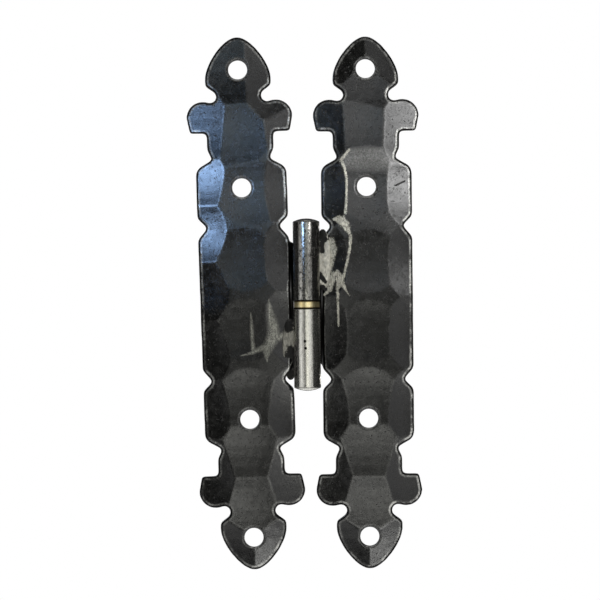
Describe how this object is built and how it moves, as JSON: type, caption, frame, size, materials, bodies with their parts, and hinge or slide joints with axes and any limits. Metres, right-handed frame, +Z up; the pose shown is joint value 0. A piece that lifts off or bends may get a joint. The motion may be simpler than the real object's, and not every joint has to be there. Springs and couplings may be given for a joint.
{
  "type": "h hinge",
  "caption": "Forged black H hinge: two hammered, pointed and lobed leaves with screw holes, welded to a steel barrel that swings on a pin and lifts off it.",
  "frame": {"origin": "middle of the frame leaf's flat back face", "axes": "+Z up along the pin, +X across from the frame leaf to the door leaf, +Y out of the flat backs, towards what the hinge is screwed to"},
  "size_m": [0.0875, 0.01, 0.2],
  "materials": {
    "black_iron": "black hammered forge finish, satin",
    "barrel_steel": "bright drawn steel",
    "pin_steel": "ground steel",
    "washer_brass": "turned brass",
    "weld_steel": "bare weld metal, scorched at its edges"
  },
  "bodies": {
    "frame_side": {"frame_leaf": "black_iron", "lower_barrel": "barrel_steel", "hinge_pin": "pin_steel", "lower_weld": "weld_steel"},
    "washer": {"thrust_washer": "washer_brass"},
    "door_side": {"door_leaf": "black_iron", "upper_barrel": "barrel_steel", "upper_weld": "weld_steel"}
  },
  "joints": [
    {"name": "swing", "type": "hinge", "parent": "frame_side", "child": "washer", "pos_m": [0.0229, -0.005, 0], "axis": [0, 0, -1], "range_deg": [-42, 175]},
    {"name": "lift", "type": "slide", "parent": "washer", "child": "door_side", "axis": [0, 0, 1], "range_m": [0, 0.024]}
  ]
}
